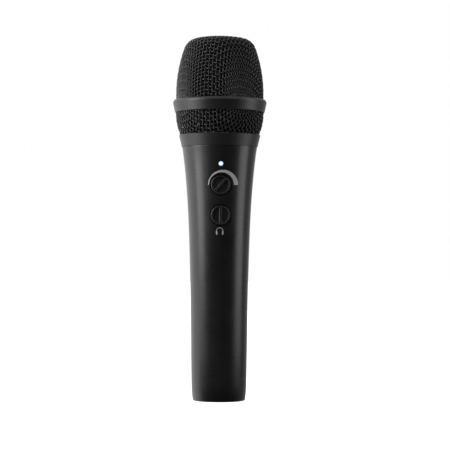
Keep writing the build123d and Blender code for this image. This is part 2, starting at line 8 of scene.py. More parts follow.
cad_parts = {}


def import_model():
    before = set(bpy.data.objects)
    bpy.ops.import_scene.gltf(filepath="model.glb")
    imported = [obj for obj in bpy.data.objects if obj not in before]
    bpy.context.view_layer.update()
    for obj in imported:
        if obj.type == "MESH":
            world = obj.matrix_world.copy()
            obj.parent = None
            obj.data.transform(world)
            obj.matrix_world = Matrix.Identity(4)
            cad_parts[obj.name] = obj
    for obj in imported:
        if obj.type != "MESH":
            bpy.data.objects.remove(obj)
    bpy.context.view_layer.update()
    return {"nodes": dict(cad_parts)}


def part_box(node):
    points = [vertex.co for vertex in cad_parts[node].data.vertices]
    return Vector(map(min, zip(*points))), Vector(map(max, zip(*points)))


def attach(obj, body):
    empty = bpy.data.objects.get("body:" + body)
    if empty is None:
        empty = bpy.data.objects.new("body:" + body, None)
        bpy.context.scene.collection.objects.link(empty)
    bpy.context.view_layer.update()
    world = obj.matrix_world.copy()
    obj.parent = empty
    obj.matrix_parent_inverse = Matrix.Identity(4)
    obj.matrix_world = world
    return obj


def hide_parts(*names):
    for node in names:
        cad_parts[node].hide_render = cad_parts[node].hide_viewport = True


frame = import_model()
NODES = frame["nodes"]

# ---------------------------------------------------------------- sizes, in metres
MM = 0.001

# Wire cloth of the grilles.
WIRE_PITCH = 1.97 * MM
WIRE_R = 0.29 * MM
WIRE_BITE = 0.01 * MM  # how far a wire is pressed into the ones that it crosses
WIRE_SIDES = 8
WIRE_STEPS = 6  # points along a wire from one crossing to the next
LOCKING_ANGLE = 36.0  # the sharpest corner that a cell can shear to
UPPER_WARP_AZIMUTH = -20.0  # the way that the warp runs from the pole: 0 is the front and 90 the right
LOWER_WARP_AZIMUTH = -18.0
NET_ROUNDS = 1500
NET_STEP = 0.4  # share of what the springs ask that a point moves in one round
NET_START_STRETCH = 0.22  # how much the net starts stretched, far out on its diagonals
RIM_TUCK = 0.25 * MM  # the wires end this far inside the wall that they replace
HIDDEN_BOWL_DEPTH = 5.0 * MM  # how far under the bowl's foot its cloth would close, if it went on
DOME_SKIRT = 9.0 * MM  # how far past its rim each grille's cloth is laid before it is cut
BOWL_SKIRT = 7.0 * MM

# Foam behind the wire.
FOAM_CELL = 0.95 * MM
FOAM_PIT = 0.22 * MM  # depth of a cell's pit
FOAM_PIT_EDGE = 1.6  # how soon a pit ends, from its middle out
FOAM_STEP = 0.6 * MM  # spacing of the mesh
FOAM_SINK = 0.1 * MM  # both faces lie this far inside the plain liner's
FOAM_END_GAP = 0.3 * MM  # its ends lie at least this far inside
FOAM_PINHOLE = 0.02 * MM  # radius of the crown's first ring of points
UPPER_FOAM_WALL = 3.5 * MM
LOWER_FOAM_WALL = 3.0 * MM

# Thread on the neck and in the collar.
THREAD_LEAD = 2.5 * MM
THREAD_DEPTH = 0.42 * MM
THREAD_ROOT = 1.3 * MM
THREAD_CREST = 0.45 * MM
THREAD_SINK = 0.05 * MM  # how far the ridge's foot is sunk in the wall
THREAD_START = 0.02 * MM  # the ridge's depth where it starts
THREAD_STEPS = 96  # points in one turn
NECK_R = 17.6 * MM
COLLAR_BORE_R = 18.2 * MM
BARE_SLEEVE_RISE = 6.3 * MM  # the collar is hidden by the wire cloth from this far above its foot

# Status light: white out to the first radius, and blue from the second.
LIGHT_CORE_R = 0.45 * MM
LIGHT_EDGE_R = 1.15 * MM

# Printed marks, raised like thick ink. The level mark's two edges are each a middle and two half widths,
# across and upright.
INK = 0.03 * MM
LEVEL_MARK_INNER = (0.35 * MM, 6.6 * MM, 6.6 * MM)
LEVEL_MARK_OUTER = (1.25 * MM, 7.97 * MM, 7.85 * MM)
HEADPHONE_MARK_DROP = 8.3 * MM
HEADPHONE_MARK_X = -0.48 * MM
HEADPHONE_BAND = (1.54 * MM, 1.82 * MM)
HEADPHONE_BAND_END = 0.12 * math.pi  # how far each end of the band dips below level
EAR_CUP_X = 1.64 * MM
EAR_CUP_DROP = 0.95 * MM
EAR_CUP_HALF_WIDTH = 0.42 * MM
EAR_CUP_HALF_HEIGHT = 1.12 * MM
EAR_CUP_LEAN = 0.22 * MM

# Camera: it stands a little to the left of the front and a little below the middle of the object.
CAMERA_DISTANCE = 0.913
CAMERA_YAW = 2.2
CAMERA_HEIGHT = 0.0782
CAMERA_AIM_HEIGHT = 0.09385
CAMERA_AIM_RIGHT = 0.0030
CAMERA_ROLL = 0.19
LENS, SENSOR = 136.2, 36.0

# Strength of the studio in front of the object, against 1 behind it.
WORLD_FRONT = 0.03


# ---------------------------------------------------------------- mesh helpers
def mesh_piece(name, verts, faces, smooth=True):
    """A mesh object from plain vertices and faces."""
    mesh = bpy.data.meshes.new(name)
    mesh.from_pydata([tuple(v) for v in np.asarray(verts, float)], [], [tuple(f) for f in faces])
    mesh.validate()
    mesh.update()
    mesh.polygons.foreach_set("use_smooth", [smooth] * len(mesh.polygons))
    piece = bpy.data.objects.new(name, mesh)
    bpy.context.scene.collection.objects.link(piece)
    return piece


def middle_z(node):
    """The height of a CAD node's middle."""
    low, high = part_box(node)
    return (low.z + high.z) / 2


def node_points(node):
    """A CAD node's vertices as an array."""
    mesh = NODES[node].data
    flat = np.zeros(len(mesh.vertices) * 3, np.float32)
    mesh.vertices.foreach_get("co", flat)
    return flat.reshape(-1, 3).astype(float)


def outer_outline(node):
    """The widest radius at each height of a round, bulging CAD node, from its foot up: (radius, height)."""
    points = node_points(node)
    flat = sorted({(round(float(z), 7), round(math.hypot(x, y), 7)) for x, y, z in points})
    chain = []
    for point in flat:
        while len(chain) > 1:
            (z0, r0), (z1, r1) = chain[-2], chain[-1]
            if (z1 - z0) * (point[1] - r0) - (r1 - r0) * (point[0] - z0) < 0:
                break
            chain.pop()
        chain.append(point)
    return np.array([[r, z] for z, r in chain])


def strip_faces(rows, columns, wrapped, start=0):
    """Quads over a grid of vertices. Wrapped, its last column joins its first."""
    quads = []
    for i in range(rows - 1):
        here, there = start + i * columns, start + (i + 1) * columns
        for j in range(columns if wrapped else columns - 1):
            k = (j + 1) % columns
            quads.append([here + j, here + k, there + k, there + j])
    return quads


# ---------------------------------------------------------------- wire cloth
class Skin:
    """A surface of revolution that cloth is laid on: its outline by arc length, from its pole out."""

    STEP, SOFTEN = 0.1 * MM, 1.2 * MM

    def __init__(self, outline, inset):
        radius, height = outline[:, 0], outline[:, 1]
        length = np.concatenate([[0], np.cumsum(np.hypot(np.diff(radius), np.diff(height)))])
        even = np.arange(0, length[-1], self.STEP)
        radius = self.softened(np.interp(even, length, radius), -1)
        height = self.softened(np.interp(even, length, height), 1)
        self.turn = 1.0 if height[0] > height[-1] else -1.0
        out_r, out_z = self.outward(radius, height)
        self.r, self.z = radius - inset * out_r, height - inset * out_z
        self.out_r, self.out_z = self.outward(self.r, self.z)
        self.s = np.concatenate([[0], np.cumsum(np.hypot(np.diff(self.r), np.diff(self.z)))])

    def softened(self, values, mirror):
        """A running mean. The outline is mirrored at the pole and carried straight on at its far end."""
        half = int(self.SOFTEN / self.STEP / 2)
        before = mirror * values[half:0:-1]
        after = 2 * values[-1] - values[-2:-half - 2:-1]
        padded = np.concatenate([before, values, after])
        return np.convolve(padded, np.ones(2 * half + 1) / (2 * half + 1), "valid")

    def outward(self, radius, height):
        """The outline's unit normal, pointing out of the solid."""
        along_r, along_z = np.gradient(radius), np.gradient(height)
        size = self.turn * np.hypot(along_r, along_z)
        return -along_z / size, along_r / size

    def outline_at(self, s):
        """The outline's radius, height and normal at these arc lengths."""
        return [np.interp(s, self.s, a) for a in (self.r, self.z, self.out_r, self.out_z)]

    def at(self, plan):
        """Where plan points are: position, normal, both unit tangents, arc length, radius, direction."""
        s = np.maximum(np.linalg.norm(plan, axis=-1), 1e-9)
        way = plan / s[..., None]
        r, z, out_r, out_z = self.outline_at(s)
        x, y = way[..., 0], way[..., 1]
        along_r, along_z = self.turn * out_z, -self.turn * out_r
        point = np.stack([r * x, r * y, z], -1)
        normal = np.stack([out_r * x, out_r * y, out_z], -1)
        along = np.stack([along_r * x, along_r * y, along_z], -1)
        around = np.stack([-y, x, 0 * s], -1)
        return point, normal, along, around, s, r, way


def lay_cloth(skin, reach):
    """Lays a square net on the skin, from its pole out. Its wires keep their pitch and resist bending, and
    a cell shears only as far as its locking angle. Returns the net's plan points and which are in use."""
    half = int(reach / WIRE_PITCH) + 2
    count = np.arange(-half, half) + 0.5
    i, j = np.meshgrid(count, count, indexing="ij")
    distance = np.hypot(i, j) * WIRE_PITCH
    diagonal = np.sin(2 * np.arctan2(j, i)) ** 2
    stretch = 1 + NET_START_STRETCH * diagonal * np.clip(distance / reach, 0, 1)
    plan = np.stack([i, j], -1) * WIRE_PITCH * stretch[..., None]
    used = distance * stretch < reach
    shortest = 2 * WIRE_PITCH * math.sin(math.radians(LOCKING_ANGLE) / 2)
    everything, head, tail = slice(None), slice(0, -1), slice(1, None)
    springs = []
    # Along a wire: the pitch itself, then longer spans that only push, once the wire has bent a little.
    for span, pull, shove in ((1, 1.0, 0.35), (2, 0.0, 0.4), (4, 0.0, 0.4), (8, 0.0, 0.4)):
        length = span * WIRE_PITCH * (1 if span == 1 else 0.995 - 0.004 * span)
        before, after = slice(0, -span), slice(span, None)
        springs.append(((before, everything), (after, everything), length, pull, shove))
        springs.append(((everything, before), (everything, after), length, pull, shove))
    # Across a cell's corners: the locking angle, and a weak pull back to a square.
    for length, pull, shove in ((shortest, 0.0, 0.8), (math.sqrt(2) * WIRE_PITCH, 0.06, 0.06)):
        springs.append(((head, head), (tail, tail), length, pull, shove))
        springs.append(((head, tail), (tail, head), length, pull, shove))
    for _ in range(NET_ROUNDS):
        point, _, along, around, s, r, way = skin.at(plan)
        push = np.zeros_like(point)
        for a, b, length, pull, shove in springs:
            between = point[b] - point[a]
            size = np.maximum(np.linalg.norm(between, axis=-1), 1e-9)
            gap = size - length
            gap = gap * np.where(gap > 0, pull, shove)
            move = (gap / size / 2 * (used[a] & used[b]))[..., None] * between
            push[a] += move
            push[b] -= move
        push *= NET_STEP
        s = s + (push * along).sum(-1)
        turn = (push * around).sum(-1) / np.maximum(r, 1e-6)
        x, y, cos, sin = way[..., 0], way[..., 1], np.cos(turn), np.sin(turn)
        way = np.stack([x * cos - y * sin, x * sin + y * cos], -1)
        plan = np.where(used[..., None], s[..., None] * way, plan)
    return plan, used


def smooth_line(points, steps):
    """Points along the smooth curve (Catmull-Rom) through the given ones."""
    ends = 2 * points[0] - points[1], 2 * points[-1] - points[-2]
    p = np.concatenate([[ends[0]], points, [ends[1]]])
    t = (np.arange(steps) / steps)[None, :, None]
    a, b, c, d = (p[k:len(p) - 3 + k, None, :] for k in range(4))
    squared, cubed = 2 * a - 5 * b + 4 * c - d, 3 * b - a - 3 * c + d
    curve = 0.5 * (2 * b + (c - a) * t + squared * t**2 + cubed * t**3)
    return np.concatenate([curve.reshape(-1, points.shape[1]), points[-1:]])


def runs(flags):
    """Start and end of each unbroken run of true flags."""
    edges = np.flatnonzero(np.diff(np.concatenate([[0], np.asarray(flags, int), [0]])))
    return list(zip(edges[::2], edges[1::2]))


def tube(path, normal, radius, sides):
    """Vertices and faces of a closed round tube along a path, turned with the given normals."""
    tangent = np.gradient(path, axis=0)
    tangent /= np.linalg.norm(tangent, axis=1)[:, None]
    up = normal - (normal * tangent).sum(1)[:, None] * tangent
    up /= np.linalg.norm(up, axis=1)[:, None]
    side = np.cross(tangent, up)
    angle = np.arange(sides) * 2 * math.pi / sides
    rings = path[:, None, :] + radius * (np.cos(angle)[None, :, None] * up[:, None, :]
                                         + np.sin(angle)[None, :, None] * side[:, None, :])
    count = len(path)
    faces = strip_faces(count, sides, True)
    faces.append(list(range(sides)))
    faces.append([(count - 1) * sides + k for k in reversed(range(sides))])
    return rings.reshape(-1, 3), faces


def wire_set(name, skin, plan, used, azimuth, low_z, high_z, crossways):
    """All the wires of a grille that run one way, each passing over and under the ones that cross it."""
    if crossways:
        plan, used = plan.transpose(1, 0, 2), used.T
    turn = math.radians(azimuth - 90)
    spin = np.array([[math.cos(turn), -math.sin(turn)], [math.sin(turn), math.cos(turn)]])
    verts, faces, total = [], [], 0
    phase = 1.0 if crossways else 0.0
    for row in range(plan.shape[1]):
        for start, end in runs(used[:, row]):
            if end - start < 3:
                continue
            line = smooth_line(plan[start:end, row] @ spin.T, WIRE_STEPS)
            point, normal = skin.at(line)[:2]
            count = start + np.arange(len(line)) / WIRE_STEPS
            lift = (WIRE_R - WIRE_BITE) * np.cos(math.pi * (count + row + phase))
            inside = (point[:, 2] > low_z) & (point[:, 2] < high_z)
            path = point + lift[:, None] * normal
            for first, last in runs(inside):
                if last - first < WIRE_STEPS:
                    continue
                wire, wire_faces = tube(path[first:last], normal[first:last], WIRE_R, WIRE_SIDES)
                verts.append(wire)
                faces += [[v + total for v in face] for face in wire_faces]
                total += len(wire)
    return mesh_piece(name, np.concatenate(verts), faces)


def grille(node, azimuth, hidden_end):
    """Replaces a grille's plain wall with its two sets of woven wires."""
    low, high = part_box(node)
    outline = outer_outline(node)
    skin = Skin(hidden_end(outline), 2 * WIRE_R - WIRE_BITE)
    is_dome = outline[-1, 0] < MM
    low_z, high_z = low.z + RIM_TUCK, math.inf if is_dome else high.z - RIM_TUCK
    far = np.interp(low.z, skin.z[::-1], skin.s[::-1]) if is_dome else skin.s[-1]
    plan, used = lay_cloth(skin, min(far + 5 * MM, skin.s[-1] - MM))
    for word, crossways in (("warp", False), ("weft", True)):
        wires = wire_set(f"{node}_{word}_wires", skin, plan, used, azimuth, low_z, high_z, crossways)
        wires.data.materials.append(GRILLE_PAINT)
        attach(wires, "grille_head")
        if not crossways:
            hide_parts(node)


def dome_with_skirt(outline):
    """The dome's outline from its crown down, carried on below the rim."""
    down = outline[::-1]
    return np.concatenate([[[0, down[0, 1]]], down, [[down[-1, 0], down[-1, 1] - DOME_SKIRT]]])


def bowl_with_bottom(outline):
    """The bowl's outline from a hidden pole under the collar, up and past its rim."""
    (r0, z0), (r1, z1) = outline[0], outline[2]
    slope = (r1 - r0) / (z1 - z0)
    corner = np.array([r0 - HIDDEN_BOWL_DEPTH * slope, z0 - HIDDEN_BOWL_DEPTH])
    t = np.linspace(0, 1, 40)[:-1, None]
    bottom = (1 - t) ** 2 * [0, corner[1]] + 2 * t * (1 - t) * corner + t**2 * [r0, z0]
    return np.concatenate([bottom, outline, [[outline[-1, 0], outline[-1, 1] + BOWL_SKIRT]]])


# ---------------------------------------------------------------- foam
def foam(node):
    """Replaces a plain liner with open-cell foam: the same walls, with a pitted face towards the wire."""
    low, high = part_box(node)
    outside = outer_outline(node)
    crown = outside[-1, 0] < MM
    wall = UPPER_FOAM_WALL if crown else LOWER_FOAM_WALL
    skin = Skin(dome_with_skirt(outside) if crown else bowl_with_bottom(outside), 0)
    r, z, out_r, out_z = skin.outline_at(np.arange(0, skin.s[-1], FOAM_STEP))
    top = math.inf if crown else high.z - FOAM_END_GAP
    keep = (z >= low.z + FOAM_END_GAP) & (z <= top)
    r, z, out_r, out_z = r[keep], z[keep], out_r[keep], out_z[keep]
    rows = len(r)
    segments = int(2 * math.pi * r.max() / FOAM_STEP)
    ways = [(math.cos(a), math.sin(a)) for a in np.arange(segments) * 2 * math.pi / segments]
    verts = []
    for inset, pit in ((FOAM_SINK, FOAM_PIT), (wall - FOAM_SINK, 0.0)):
        for radius, height, normal_r, normal_z in zip(np.maximum(r, FOAM_PINHOLE), z, out_r, out_z):
            for x, y in ways:
                normal = Vector((x * normal_r, y * normal_r, normal_z))
                at = Vector((x * radius, y * radius, height)) - normal * inset
                if pit:
                    near = noise.voronoi(at / FOAM_CELL)[0][0]
                    at -= normal * pit * (1 - min(near * FOAM_PIT_EDGE, 1.0))
                verts.append(at)
    front = strip_faces(rows, segments, True)
    size = rows * segments
    back = [[v + size for v in reversed(f)] for f in front]
    rims = []
    for row in (rows - 1,) if crown else (0, rows - 1):
        for k in range(segments):
            a, b = row * segments + k, row * segments + (k + 1) % segments
            rims.append([a, b, b + size, a + size] if row else [b, a, a + size, b + size])
    if crown:
        rims.append(list(range(segments))[::-1])
        rims.append([size + k for k in range(segments)])
    piece = mesh_piece(f"{node}_foam", [tuple(v) for v in verts], front + back + rims)
    piece.data.materials.append(FOAM)
    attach(piece, "grille_head")
    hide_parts(node)


# ---------------------------------------------------------------- thread
def thread(name, wall_r, low_z, high_z, body, material, inwards, phase):
    """One helical ridge on a round wall, right-handed, that swells from nothing at both ends."""
    turns = (high_z - low_z) / THREAD_LEAD
    steps = int(turns * THREAD_STEPS)
    t = np.linspace(0, 1, steps + 1)
    angle = 2 * math.pi * (turns * t + phase)
    swell = np.clip(np.minimum(t, 1 - t) * turns * 4, 0, 1) ** 0.5
    side = -1.0 if inwards else 1.0
    sunk = wall_r - side * THREAD_SINK
    crest = wall_r + side * (THREAD_START + THREAD_DEPTH * swell)
    z = low_z + (high_z - low_z) * t
    section = [(sunk + 0 * t, -THREAD_ROOT / 2), (crest, -THREAD_CREST / 2),
               (crest, THREAD_CREST / 2), (sunk + 0 * t, THREAD_ROOT / 2)]
    corners = [np.stack([r * np.cos(angle), r * np.sin(angle), z + dz], -1) for r, dz in section]
    verts = np.stack(corners, 1).reshape(-1, 3)
    faces = strip_faces(steps + 1, 4, True)
    faces += [[0, 1, 2, 3], [steps * 4 + k for k in (3, 2, 1, 0)]]
    if not inwards:
        faces = [f[::-1] for f in faces]
    piece = mesh_piece(name, verts, faces, smooth=False)
    piece.data.materials.append(material)
    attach(piece, body)


# ---------------------------------------------------------------- printed marks
def printed(name, patches):
    """Ink on the front of the handle. Each patch is a grid of (x, z) points, laid on the handle's skin."""
    shell = NODES["handle_shell"].data
    skin = BVHTree.FromPolygons([v.co for v in shell.vertices], [p.vertices for p in shell.polygons])
    verts, faces = [], []
    for patch in patches:
        rows, columns = patch.shape[:2]
        for lift in (INK, -INK):
            for x, z in patch.reshape(-1, 2):
                hit, normal, _, _ = skin.ray_cast(Vector((x, -0.1, z)), Vector((0, 1, 0)))
                verts.append(hit + normal * lift)
        size = rows * columns
        start = len(verts) - 2 * size
        top = strip_faces(rows, columns, False, start)
        faces += top + [[v + size for v in reversed(f)] for f in top]
        rim = [(0, k) for k in range(columns)] + [(k, columns - 1) for k in range(1, rows)]
        rim += [(rows - 1, k) for k in range(columns - 2, -1, -1)]
        rim += [(k, 0) for k in range(rows - 2, 0, -1)]
        loop = [start + i * columns + j for i, j in rim]
        faces += [[b, a, a + size, b + size] for a, b in zip(loop, loop[1:] + loop[:1])]
    piece = mesh_piece(name, [tuple(v) for v in verts], faces, smooth=False)
    piece.data.materials.append(INK_GREY)
    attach(piece, "handle")


def level_mark():
    """A crescent over the gain knob, between a circle and an oval that aren't quite concentric."""
    centre_z = middle_z("gain_knob")
    rows = []
    for angle in np.linspace(math.pi, 0, 72):
        row = []
        for x, across, upright in (LEVEL_MARK_INNER, LEVEL_MARK_OUTER):
            row.append([x + across * math.cos(angle), centre_z + upright * math.sin(angle)])
        rows.append([np.array(row[0]) * (1 - t) + np.array(row[1]) * t for t in np.linspace(0, 1, 5)])
    printed("level_mark", [np.array(rows)])


def headphone_mark():
    """A plain headphone pictogram under the headphone knob: a band and two ear cups."""
    x0, z0 = HEADPHONE_MARK_X, middle_z("headphone_knob") - HEADPHONE_MARK_DROP
    band = []
    for angle in np.linspace(math.pi + HEADPHONE_BAND_END, -HEADPHONE_BAND_END, 49):
        way = np.array([math.cos(angle), math.sin(angle)])
        band.append([[x0 + r * way[0], z0 + r * way[1]] for r in HEADPHONE_BAND])
    patches = [np.array(band)]
    for side in (-1, 1):
        cup = []
        for t in np.linspace(-1, 1, 15):
            half = EAR_CUP_HALF_WIDTH * max(1 - abs(t) ** 2.6, 0.02) ** 0.5
            x = x0 + side * (EAR_CUP_X - EAR_CUP_LEAN * min(t, 0) ** 2)
            z = z0 - EAR_CUP_DROP + t * EAR_CUP_HALF_HEIGHT
            cup.append([[x - half, z], [x + half, z]])
        patches.append(np.array(cup))
    printed("headphone_mark", patches)


# ---------------------------------------------------------------- materials
def put(tree, kind, **values):
    """Adds a shader node. A value sets an input by name, or one of the node's own settings."""
    node = tree.nodes.new(kind)
    for key, value in values.items():
        label = key.replace("_", " ").title()
        if label in node.inputs:
            node.inputs[label].default_value = value
        else:
            setattr(node, key, value)
    return node


def new_surface(name, color, roughness, metallic=0.0, specular=0.5, coat=0.0):
    """A material with a plain shader. Returns it with its tree, its shader and its coordinates."""
    material = bpy.data.materials.new(name)
    material.use_nodes = True
    tree = material.node_tree
    shader = tree.nodes["Principled BSDF"]
    shader.inputs["Base Color"].default_value = (*color, 1)
    shader.inputs["Roughness"].default_value = roughness
    shader.inputs["Metallic"].default_value = metallic
    shader.inputs["Specular IOR Level"].default_value = specular
    shader.inputs["Coat Weight"].default_value = coat
    place = put(tree, "ShaderNodeTexCoord").outputs["Object"]
    return material, tree, shader, place


def spread_of(tree, value, low, high, from_low=0.3, from_high=0.7):
    """Maps a texture's middle range to the given one."""
    node = put(tree, "ShaderNodeMapRange")
    for index, number in ((1, from_low), (2, from_high), (3, low), (4, high)):
        node.inputs[index].default_value = number
    tree.links.new(value, node.inputs[0])
    return node.outputs[0]


def mixed(tree, factor, a, b):
    """A colour between two, by a factor."""
    node = put(tree, "ShaderNodeMix", data_type="RGBA")
    tree.links.new(factor, node.inputs[0])
    for socket, color in ((6, a), (7, b)):
        if isinstance(color, tuple):
            node.inputs[socket].default_value = (*color, 1)
        else:
            tree.links.new(color, node.inputs[socket])
    return node.outputs[2]


def stretched(tree, place, scale):
    """Coordinates scaled by a factor for each axis."""
    node = put(tree, "ShaderNodeMapping", scale=scale)
    tree.links.new(place, node.inputs["Vector"])
    return node.outputs[0]


def grain(tree, place, size, detail=2.0, kind="ShaderNodeTexNoise"):
    """A texture whose features are about that size, in metres."""
    node = put(tree, kind, scale=1 / size)
    if "Detail" in node.inputs:
        node.inputs["Detail"].default_value = detail
    tree.links.new(place, node.inputs["Vector"])
    return node.outputs[0]


def tint(tree, shader, factor, a, b):
    """Colours the surface between two colours, by a factor."""
    tree.links.new(mixed(tree, factor, a, b), shader.inputs["Base Color"])


def bump(tree, shader, height, depth):
    """Raises the surface by a texture, up to a depth in metres."""
    node = put(tree, "ShaderNodeBump", strength=1.0, distance=depth)
    tree.links.new(height, node.inputs["Height"])
    tree.links.new(node.outputs[0], shader.inputs["Normal"])


def worn_edges(tree, radius):
    """1 on sharp edges and 0 on open faces."""
    soft = put(tree, "ShaderNodeBevel", samples=4, radius=radius)
    plain = put(tree, "ShaderNodeNewGeometry")
    dot = put(tree, "ShaderNodeVectorMath", operation="DOT_PRODUCT")
    tree.links.new(soft.outputs[0], dot.inputs[0])
    tree.links.new(plain.outputs["Normal"], dot.inputs[1])
    return spread_of(tree, dot.outputs["Value"], 1.0, 0.0, 0.80, 0.97)


def satin_paint(name, color, roughness, grain_size=0.35 * MM, wear=0.25):
    """Satin paint over metal: a faint orange peel, cloudy gloss, and slightly paler edges."""
    material, tree, shader, place = new_surface(name, color, roughness, specular=0.5)
    clouds = grain(tree, place, 14 * MM, 3.0)
    fine = grain(tree, place, grain_size, 3.0)
    light = tuple(c * 1.35 + 0.002 for c in color)
    base = mixed(tree, spread_of(tree, clouds, 0.0, 1.0), color, light)
    edge = put(tree, "ShaderNodeMath", operation="MULTIPLY")
    tree.links.new(worn_edges(tree, 0.25 * MM), edge.inputs[0])
    edge.inputs[1].default_value = wear
    worn = tuple(c * 3 + 0.03 for c in color)
    tint(tree, shader, edge.outputs[0], base, worn)
    both = put(tree, "ShaderNodeMath", operation="ADD")
    tree.links.new(spread_of(tree, clouds, -0.025, 0.025), both.inputs[0])
    tree.links.new(spread_of(tree, fine, roughness - 0.03, roughness + 0.03), both.inputs[1])
    tree.links.new(both.outputs[0], shader.inputs["Roughness"])
    bump(tree, shader, fine, 0.004 * MM)
    return material


def dull_above(material, height):
    """Takes the gloss off a paint above a height, where the part is hidden behind the wire cloth."""
    tree = material.node_tree
    shader = tree.nodes["Principled BSDF"]
    axes = put(tree, "ShaderNodeSeparateXYZ")
    tree.links.new(put(tree, "ShaderNodeTexCoord").outputs["Object"], axes.inputs[0])
    gloss = spread_of(tree, axes.outputs["Z"], 0.5, 0.0, height, height + 0.3 * MM)
    tree.links.new(gloss, shader.inputs["Specular IOR Level"])


def moulded(name, color, roughness, grain_size=0.12 * MM, depth=0.006 * MM, specular=0.5):
    """Moulded plastic or rubber with a fine spark-eroded grain."""
    material, tree, shader, place = new_surface(name, color, roughness, specular=specular)
    fine = grain(tree, place, grain_size)
    clouds = grain(tree, place, 6 * MM)
    light = tuple(min(c * 1.3 + 0.002, 1.0) for c in color)
    tint(tree, shader, spread_of(tree, clouds, 0.0, 1.0), color, light)
    gloss = spread_of(tree, fine, roughness - 0.06, roughness + 0.06)
    tree.links.new(gloss, shader.inputs["Roughness"])
    bump(tree, shader, fine, depth)
    return material


def machined(name, color, roughness, across=(1.0, 1.0, 0.04), depth=0.002 * MM):
    """Bare metal with fine drawn or turned lines."""
    material, tree, shader, place = new_surface(name, color, roughness, metallic=1.0)
    drawn = grain(tree, stretched(tree, place, across), 0.05 * MM)
    clouds = grain(tree, place, 3 * MM)
    dull = tuple(c * 0.72 for c in color)
    tint(tree, shader, spread_of(tree, clouds, 0.0, 1.0), dull, color)
    gloss = spread_of(tree, drawn, roughness - 0.07, roughness + 0.09)
    tree.links.new(gloss, shader.inputs["Roughness"])
    bump(tree, shader, drawn, depth)
    return material


def open_cell_foam(name, color):
    """Foam whose cells are painted darker towards their middles, as painted shade in their pits, and dented
    by a bump.
    """
    material, tree, shader, place = new_surface(name, color, 0.95, specular=0.1)
    cells = grain(tree, place, 0.5 * MM, kind="ShaderNodeTexVoronoi")
    # Painted shade: each cell's middle is darkened as the inside of a pit in shade would be; the foam
    # itself is one colour.
    painted_pit_shade = tuple(c * 0.3 for c in color)
    tint(tree, shader, spread_of(tree, cells, 0.0, 1.0, 0.1, 0.6), painted_pit_shade, color)
    bump(tree, shader, cells, 0.15 * MM)
    return material


def circuit_board(name, color):
    """Solder mask over copper: tracks that show as slightly raised, lighter lines."""
    material, tree, shader, place = new_surface(name, color, 0.32, coat=0.3)
    tracks = put(tree, "ShaderNodeTexBrick", offset=0.37, scale=120.0, mortar_size=0.09)
    axes = put(tree, "ShaderNodeSeparateXYZ")
    tree.links.new(place, axes.inputs[0])
    flat = put(tree, "ShaderNodeCombineXYZ")
    tree.links.new(axes.outputs["X"], flat.inputs["X"])
    tree.links.new(axes.outputs["Z"], flat.inputs["Y"])
    tree.links.new(flat.outputs[0], tracks.inputs["Vector"])
    copper = tuple(min(c * 1.9 + 0.01, 1.0) for c in color)
    lines = tracks.outputs["Fac"]
    tint(tree, shader, lines, color, copper)
    bump(tree, shader, lines, 0.03 * MM)
    return material


def status_light(name):
    """The light pipe's face: a white core that turns blue towards its edge."""
    material, tree, shader, place = new_surface(name, (0.75, 0.86, 1.0), 0.15)
    shift = put(tree, "ShaderNodeVectorMath", operation="SUBTRACT")
    shift.inputs[1].default_value = (0, 0, middle_z("status_light_pipe"))
    tree.links.new(place, shift.inputs[0])
    across = stretched(tree, shift.outputs[0], (1.0, 0.0, 1.0))
    length = put(tree, "ShaderNodeVectorMath", operation="LENGTH")
    tree.links.new(across, length.inputs[0])
    fade = spread_of(tree, length.outputs["Value"], 0.0, 1.0, LIGHT_CORE_R, LIGHT_EDGE_R)
    glow = mixed(tree, fade, (0.66, 0.80, 0.84), (0.08, 0.26, 0.52))
    tree.links.new(glow, shader.inputs["Emission Color"])
    shader.inputs["Emission Strength"].default_value = 0.9
    return material


def ink(name, color):
    """Printed ink, slightly uneven."""
    material, tree, shader, place = new_surface(name, color, 0.55, specular=0.3)
    fine = grain(tree, place, 0.15 * MM)
    thin = tuple(c * 0.88 for c in color)
    tint(tree, shader, spread_of(tree, fine, 0.0, 1.0), thin, color)
    bump(tree, shader, fine, 0.003 * MM)
    return material


BLACK = (0.0070, 0.0070, 0.0074)
HANDLE_PAINT = satin_paint("handle_satin_black", BLACK, 0.30)
HEAD_PAINT = satin_paint("head_satin_black", BLACK, 0.38)
COLLAR_PAINT = satin_paint("collar_satin_black", BLACK, 0.38)
dull_above(COLLAR_PAINT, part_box("grille_collar")[0].z + BARE_SLEEVE_RISE)
GRILLE_PAINT = satin_paint("grille_wire_black", (0.008, 0.008, 0.0084), 0.30, 0.12 * MM, wear=0.0)
KNOB_PLASTIC = moulded("knob_black_plastic", (0.008, 0.008, 0.0085), 0.42)
END_PLATE_PLASTIC = moulded("end_plate_black_plastic", (0.016, 0.016, 0.017), 0.55, 0.2 * MM, 0.01 * MM)
CHASSIS_PLASTIC = moulded("chassis_grey_plastic", (0.045, 0.047, 0.052), 0.5)
BLACK_RUBBER = moulded("black_rubber", (0.014, 0.014, 0.015), 0.72, 0.09 * MM, 0.008 * MM, 0.3)
RED_RUBBER = moulded("red_lead", (0.42, 0.020, 0.016), 0.45)
BLACK_LEAD = moulded("black_lead", (0.018, 0.018, 0.019), 0.45)
WHITE_NYLON = moulded("white_nylon", (0.72, 0.70, 0.63), 0.4)
CHIP_EPOXY = moulded("chip_epoxy", (0.022, 0.022, 0.024), 0.6, 0.06 * MM, 0.004 * MM)
TRACK_CARBON = moulded("resistance_track", (0.03, 0.028, 0.026), 0.5)
FOAM = open_cell_foam("acoustic_foam", (0.010, 0.010, 0.011))
BOARD_GREEN = circuit_board("board_solder_mask", (0.008, 0.085, 0.042))
SCREW_STEEL = machined("screw_steel", (0.40, 0.40, 0.41), 0.32)
SOCKET_STEEL = machined("socket_steel", (0.62, 0.62, 0.63), 0.28)
CAPSULE_ALUMINIUM = machined("capsule_aluminium", (0.74, 0.74, 0.75), 0.3, across=(1.0, 1.0, 0.1))
CONTACT_BRASS = machined("contact_brass", (0.78, 0.57, 0.26), 0.25)
